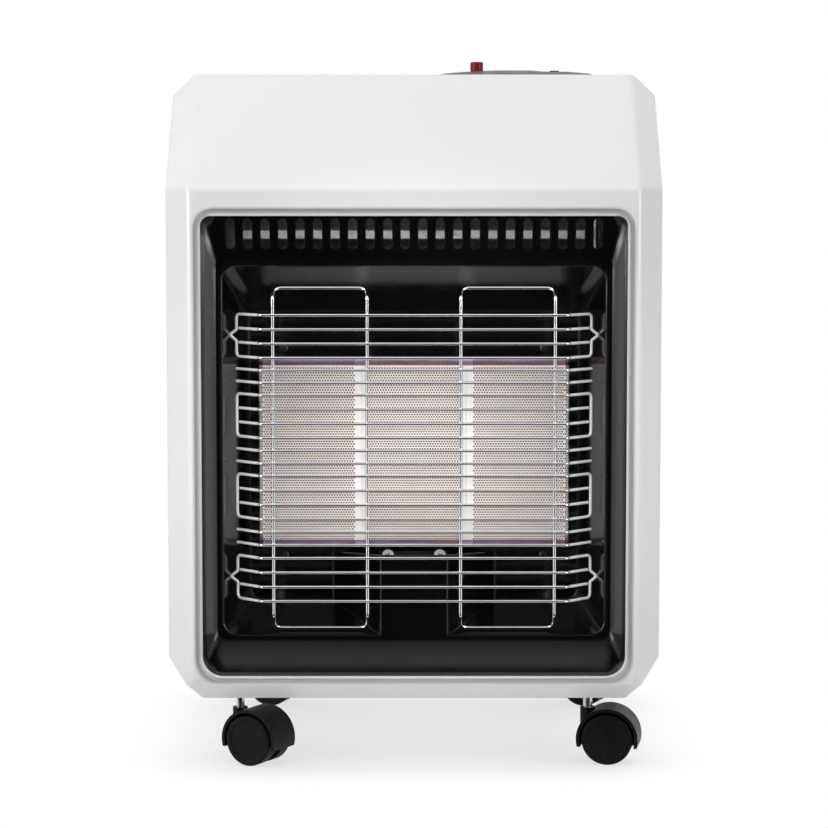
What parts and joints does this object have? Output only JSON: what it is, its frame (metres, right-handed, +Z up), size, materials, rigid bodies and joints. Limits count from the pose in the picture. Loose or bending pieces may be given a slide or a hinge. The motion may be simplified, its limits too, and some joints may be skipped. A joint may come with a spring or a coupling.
{
  "type": "portable gas cabinet heater",
  "caption": "Wheeled cabinet heater with a slanted front, a ceramic plaque burner behind a wire guard, a top control plate, a rear cylinder bay door and swivel casters.",
  "frame": {"origin": "on the floor under the middle of the bounding box", "axes": "+Z up, -Y out of the front with the burner, +X to the right of a viewer facing the front"},
  "size_m": [0.42, 0.38, 0.6077],
  "materials": {
    "white_enamel": "gloss white powder coat",
    "black_enamel": "gloss black enamel",
    "dark_steel": "satin black paint",
    "zinc_sheet": "galvanised",
    "guard_chrome": "bright plated wire",
    "trim_steel": "bright, heat tinted along the lip",
    "ceramic": "matt, finely perforated",
    "probe_ceramic": "glazed white",
    "aluminised": "aluminised sheet",
    "pipe_metal": "drawn tube",
    "brass": "machined",
    "valve_alloy": "die cast",
    "black_plastic": "satin gloss black",
    "caster_plastic": "fine matt black",
    "wheel_plastic": "fine matt black",
    "button_red": "deep red",
    "steel_pin": "zinc plated",
    "screw_bright": "bright zinc",
    "screw_dark": "blackened"
  },
  "bodies": {
    "cabinet": {"front_panel": "white_enamel", "side_panel_left": "white_enamel", "side_panel_right": "white_enamel", "top_panel": "white_enamel", "base_plate": "zinc_sheet", "hinge_knuckles": "steel_pin", "hinge_pins": "steel_pin", "firebox_surround": "black_enamel", "heat_shelf": "zinc_sheet", "partition": "zinc_sheet", "guard_loops": "guard_chrome", "guard_bars": "guard_chrome", "guard_uprights": "guard_chrome", "plaque_left": "ceramic", "plaque_centre": "ceramic", "plaque_right": "ceramic", "burner_trim": "trim_steel", "burner_box": "aluminised", "venturi_tubes": "aluminised", "injector_rail": "pipe_metal", "rail_feet": "zinc_sheet", "gas_pipe": "pipe_metal", "pilot_pipe": "pipe_metal", "burner_screws": "screw_dark", "pilot_screws": "screw_bright", "pilot_bracket": "dark_steel", "pilot_burner": "brass", "pilot_electrode": "probe_ceramic", "thermocouple": "steel_pin", "valve_body": "valve_alloy", "hose_tail": "brass", "control_plate": "black_plastic", "piezo_body": "black_plastic", "caster_stems": "steel_pin", "caster_sockets": "steel_pin"},
    "rear_door": {"rear_door": "white_enamel", "door_knuckles": "steel_pin"},
    "latch": {"latch_handle": "black_plastic", "latch_cam": "steel_pin"},
    "valve_plug": {"valve_plug": "brass"},
    "knob": {"control_knob": "black_plastic", "valve_spindle": "steel_pin"},
    "button": {"igniter_button": "button_red"},
    "swivel_front_left": {"caster_hood_front_left": "caster_plastic", "caster_axle_front_left": "steel_pin"},
    "near_front_left": {"wheel_near_front_left": "wheel_plastic"},
    "far_front_left": {"wheel_far_front_left": "wheel_plastic"},
    "swivel_front_right": {"caster_hood_front_right": "caster_plastic", "caster_axle_front_right": "steel_pin"},
    "near_front_right": {"wheel_near_front_right": "wheel_plastic"},
    "far_front_right": {"wheel_far_front_right": "wheel_plastic"},
    "swivel_rear_left": {"caster_hood_rear_left": "caster_plastic", "caster_axle_rear_left": "steel_pin"},
    "near_rear_left": {"wheel_near_rear_left": "wheel_plastic"},
    "far_rear_left": {"wheel_far_rear_left": "wheel_plastic"},
    "swivel_rear_right": {"caster_hood_rear_right": "caster_plastic", "caster_axle_rear_right": "steel_pin"},
    "near_rear_right": {"wheel_near_rear_right": "wheel_plastic"},
    "far_rear_right": {"wheel_far_rear_right": "wheel_plastic"}
  },
  "joints": [
    {"name": "rear_door_swing", "type": "hinge", "parent": "cabinet", "child": "rear_door", "pos_m": [-0.204, 0.1793, 0.325], "axis": [0, 0, 1], "range_deg": [0, 110]},
    {"name": "latch_turn", "type": "hinge", "parent": "rear_door", "child": "latch", "pos_m": [0.186, 0.18, 0.32775], "axis": [0, 1, 0], "range_deg": [0, 90]},
    {"name": "knob_turn", "type": "hinge", "parent": "cabinet", "child": "valve_plug", "pos_m": [0.1245, -0.02, 0.56], "axis": [0, 0, 1], "range_deg": [0, 240]},
    {"name": "knob_push", "type": "slide", "parent": "valve_plug", "child": "knob", "axis": [0, 0, -1], "range_m": [0, 0.003], "stiffness_N_per_m": 800, "springref_m": -0.004},
    {"name": "button_push", "type": "slide", "parent": "cabinet", "child": "button", "axis": [0, 0, -1], "range_m": [0, 0.005], "stiffness_N_per_m": 900, "springref_m": -0.003},
    {"name": "swivel_front_left", "type": "hinge", "parent": "cabinet", "child": "swivel_front_left", "pos_m": [-0.151, -0.135, 0.045], "axis": [0, 0, 1], "continuous": true},
    {"name": "roll_near_front_left", "type": "hinge", "parent": "swivel_front_left", "child": "near_front_left", "pos_m": [-0.13489, -0.1443, 0.022], "axis": [0.5, 0.866, 0], "continuous": true},
    {"name": "roll_far_front_left", "type": "hinge", "parent": "swivel_front_left", "child": "far_front_left", "pos_m": [-0.13489, -0.1443, 0.022], "axis": [0.5, 0.866, 0], "continuous": true},
    {"name": "swivel_front_right", "type": "hinge", "parent": "cabinet", "child": "swivel_front_right", "pos_m": [0.151, -0.135, 0.045], "axis": [0, 0, 1], "continuous": true},
    {"name": "roll_near_front_right", "type": "hinge", "parent": "swivel_front_right", "child": "near_front_right", "pos_m": [0.16929, -0.13839, 0.022], "axis": [0.1822, 0.9833, 0], "continuous": true},
    {"name": "roll_far_front_right", "type": "hinge", "parent": "swivel_front_right", "child": "far_front_right", "pos_m": [0.16929, -0.13839, 0.022], "axis": [0.1822, 0.9833, 0], "continuous": true},
    {"name": "swivel_rear_left", "type": "hinge", "parent": "cabinet", "child": "swivel_rear_left", "pos_m": [-0.151, 0.128, 0.045], "axis": [0, 0, 1], "continuous": true},
    {"name": "roll_near_rear_left", "type": "hinge", "parent": "swivel_rear_left", "child": "near_rear_left", "pos_m": [-0.13331, 0.12225, 0.022], "axis": [0.309, 0.9511, 0], "continuous": true},
    {"name": "roll_far_rear_left", "type": "hinge", "parent": "swivel_rear_left", "child": "far_rear_left", "pos_m": [-0.13331, 0.12225, 0.022], "axis": [0.309, 0.9511, 0], "continuous": true},
    {"name": "swivel_rear_right", "type": "hinge", "parent": "cabinet", "child": "swivel_rear_right", "pos_m": [0.151, 0.128, 0.045], "axis": [0, 0, 1], "continuous": true},
    {"name": "roll_near_rear_right", "type": "hinge", "parent": "swivel_rear_right", "child": "near_rear_right", "pos_m": [0.16799, 0.12043, 0.022], "axis": [0.4067, 0.9135, 0], "continuous": true},
    {"name": "roll_far_rear_right", "type": "hinge", "parent": "swivel_rear_right", "child": "far_rear_right", "pos_m": [0.16799, 0.12043, 0.022], "axis": [0.4067, 0.9135, 0], "continuous": true}
  ]
}
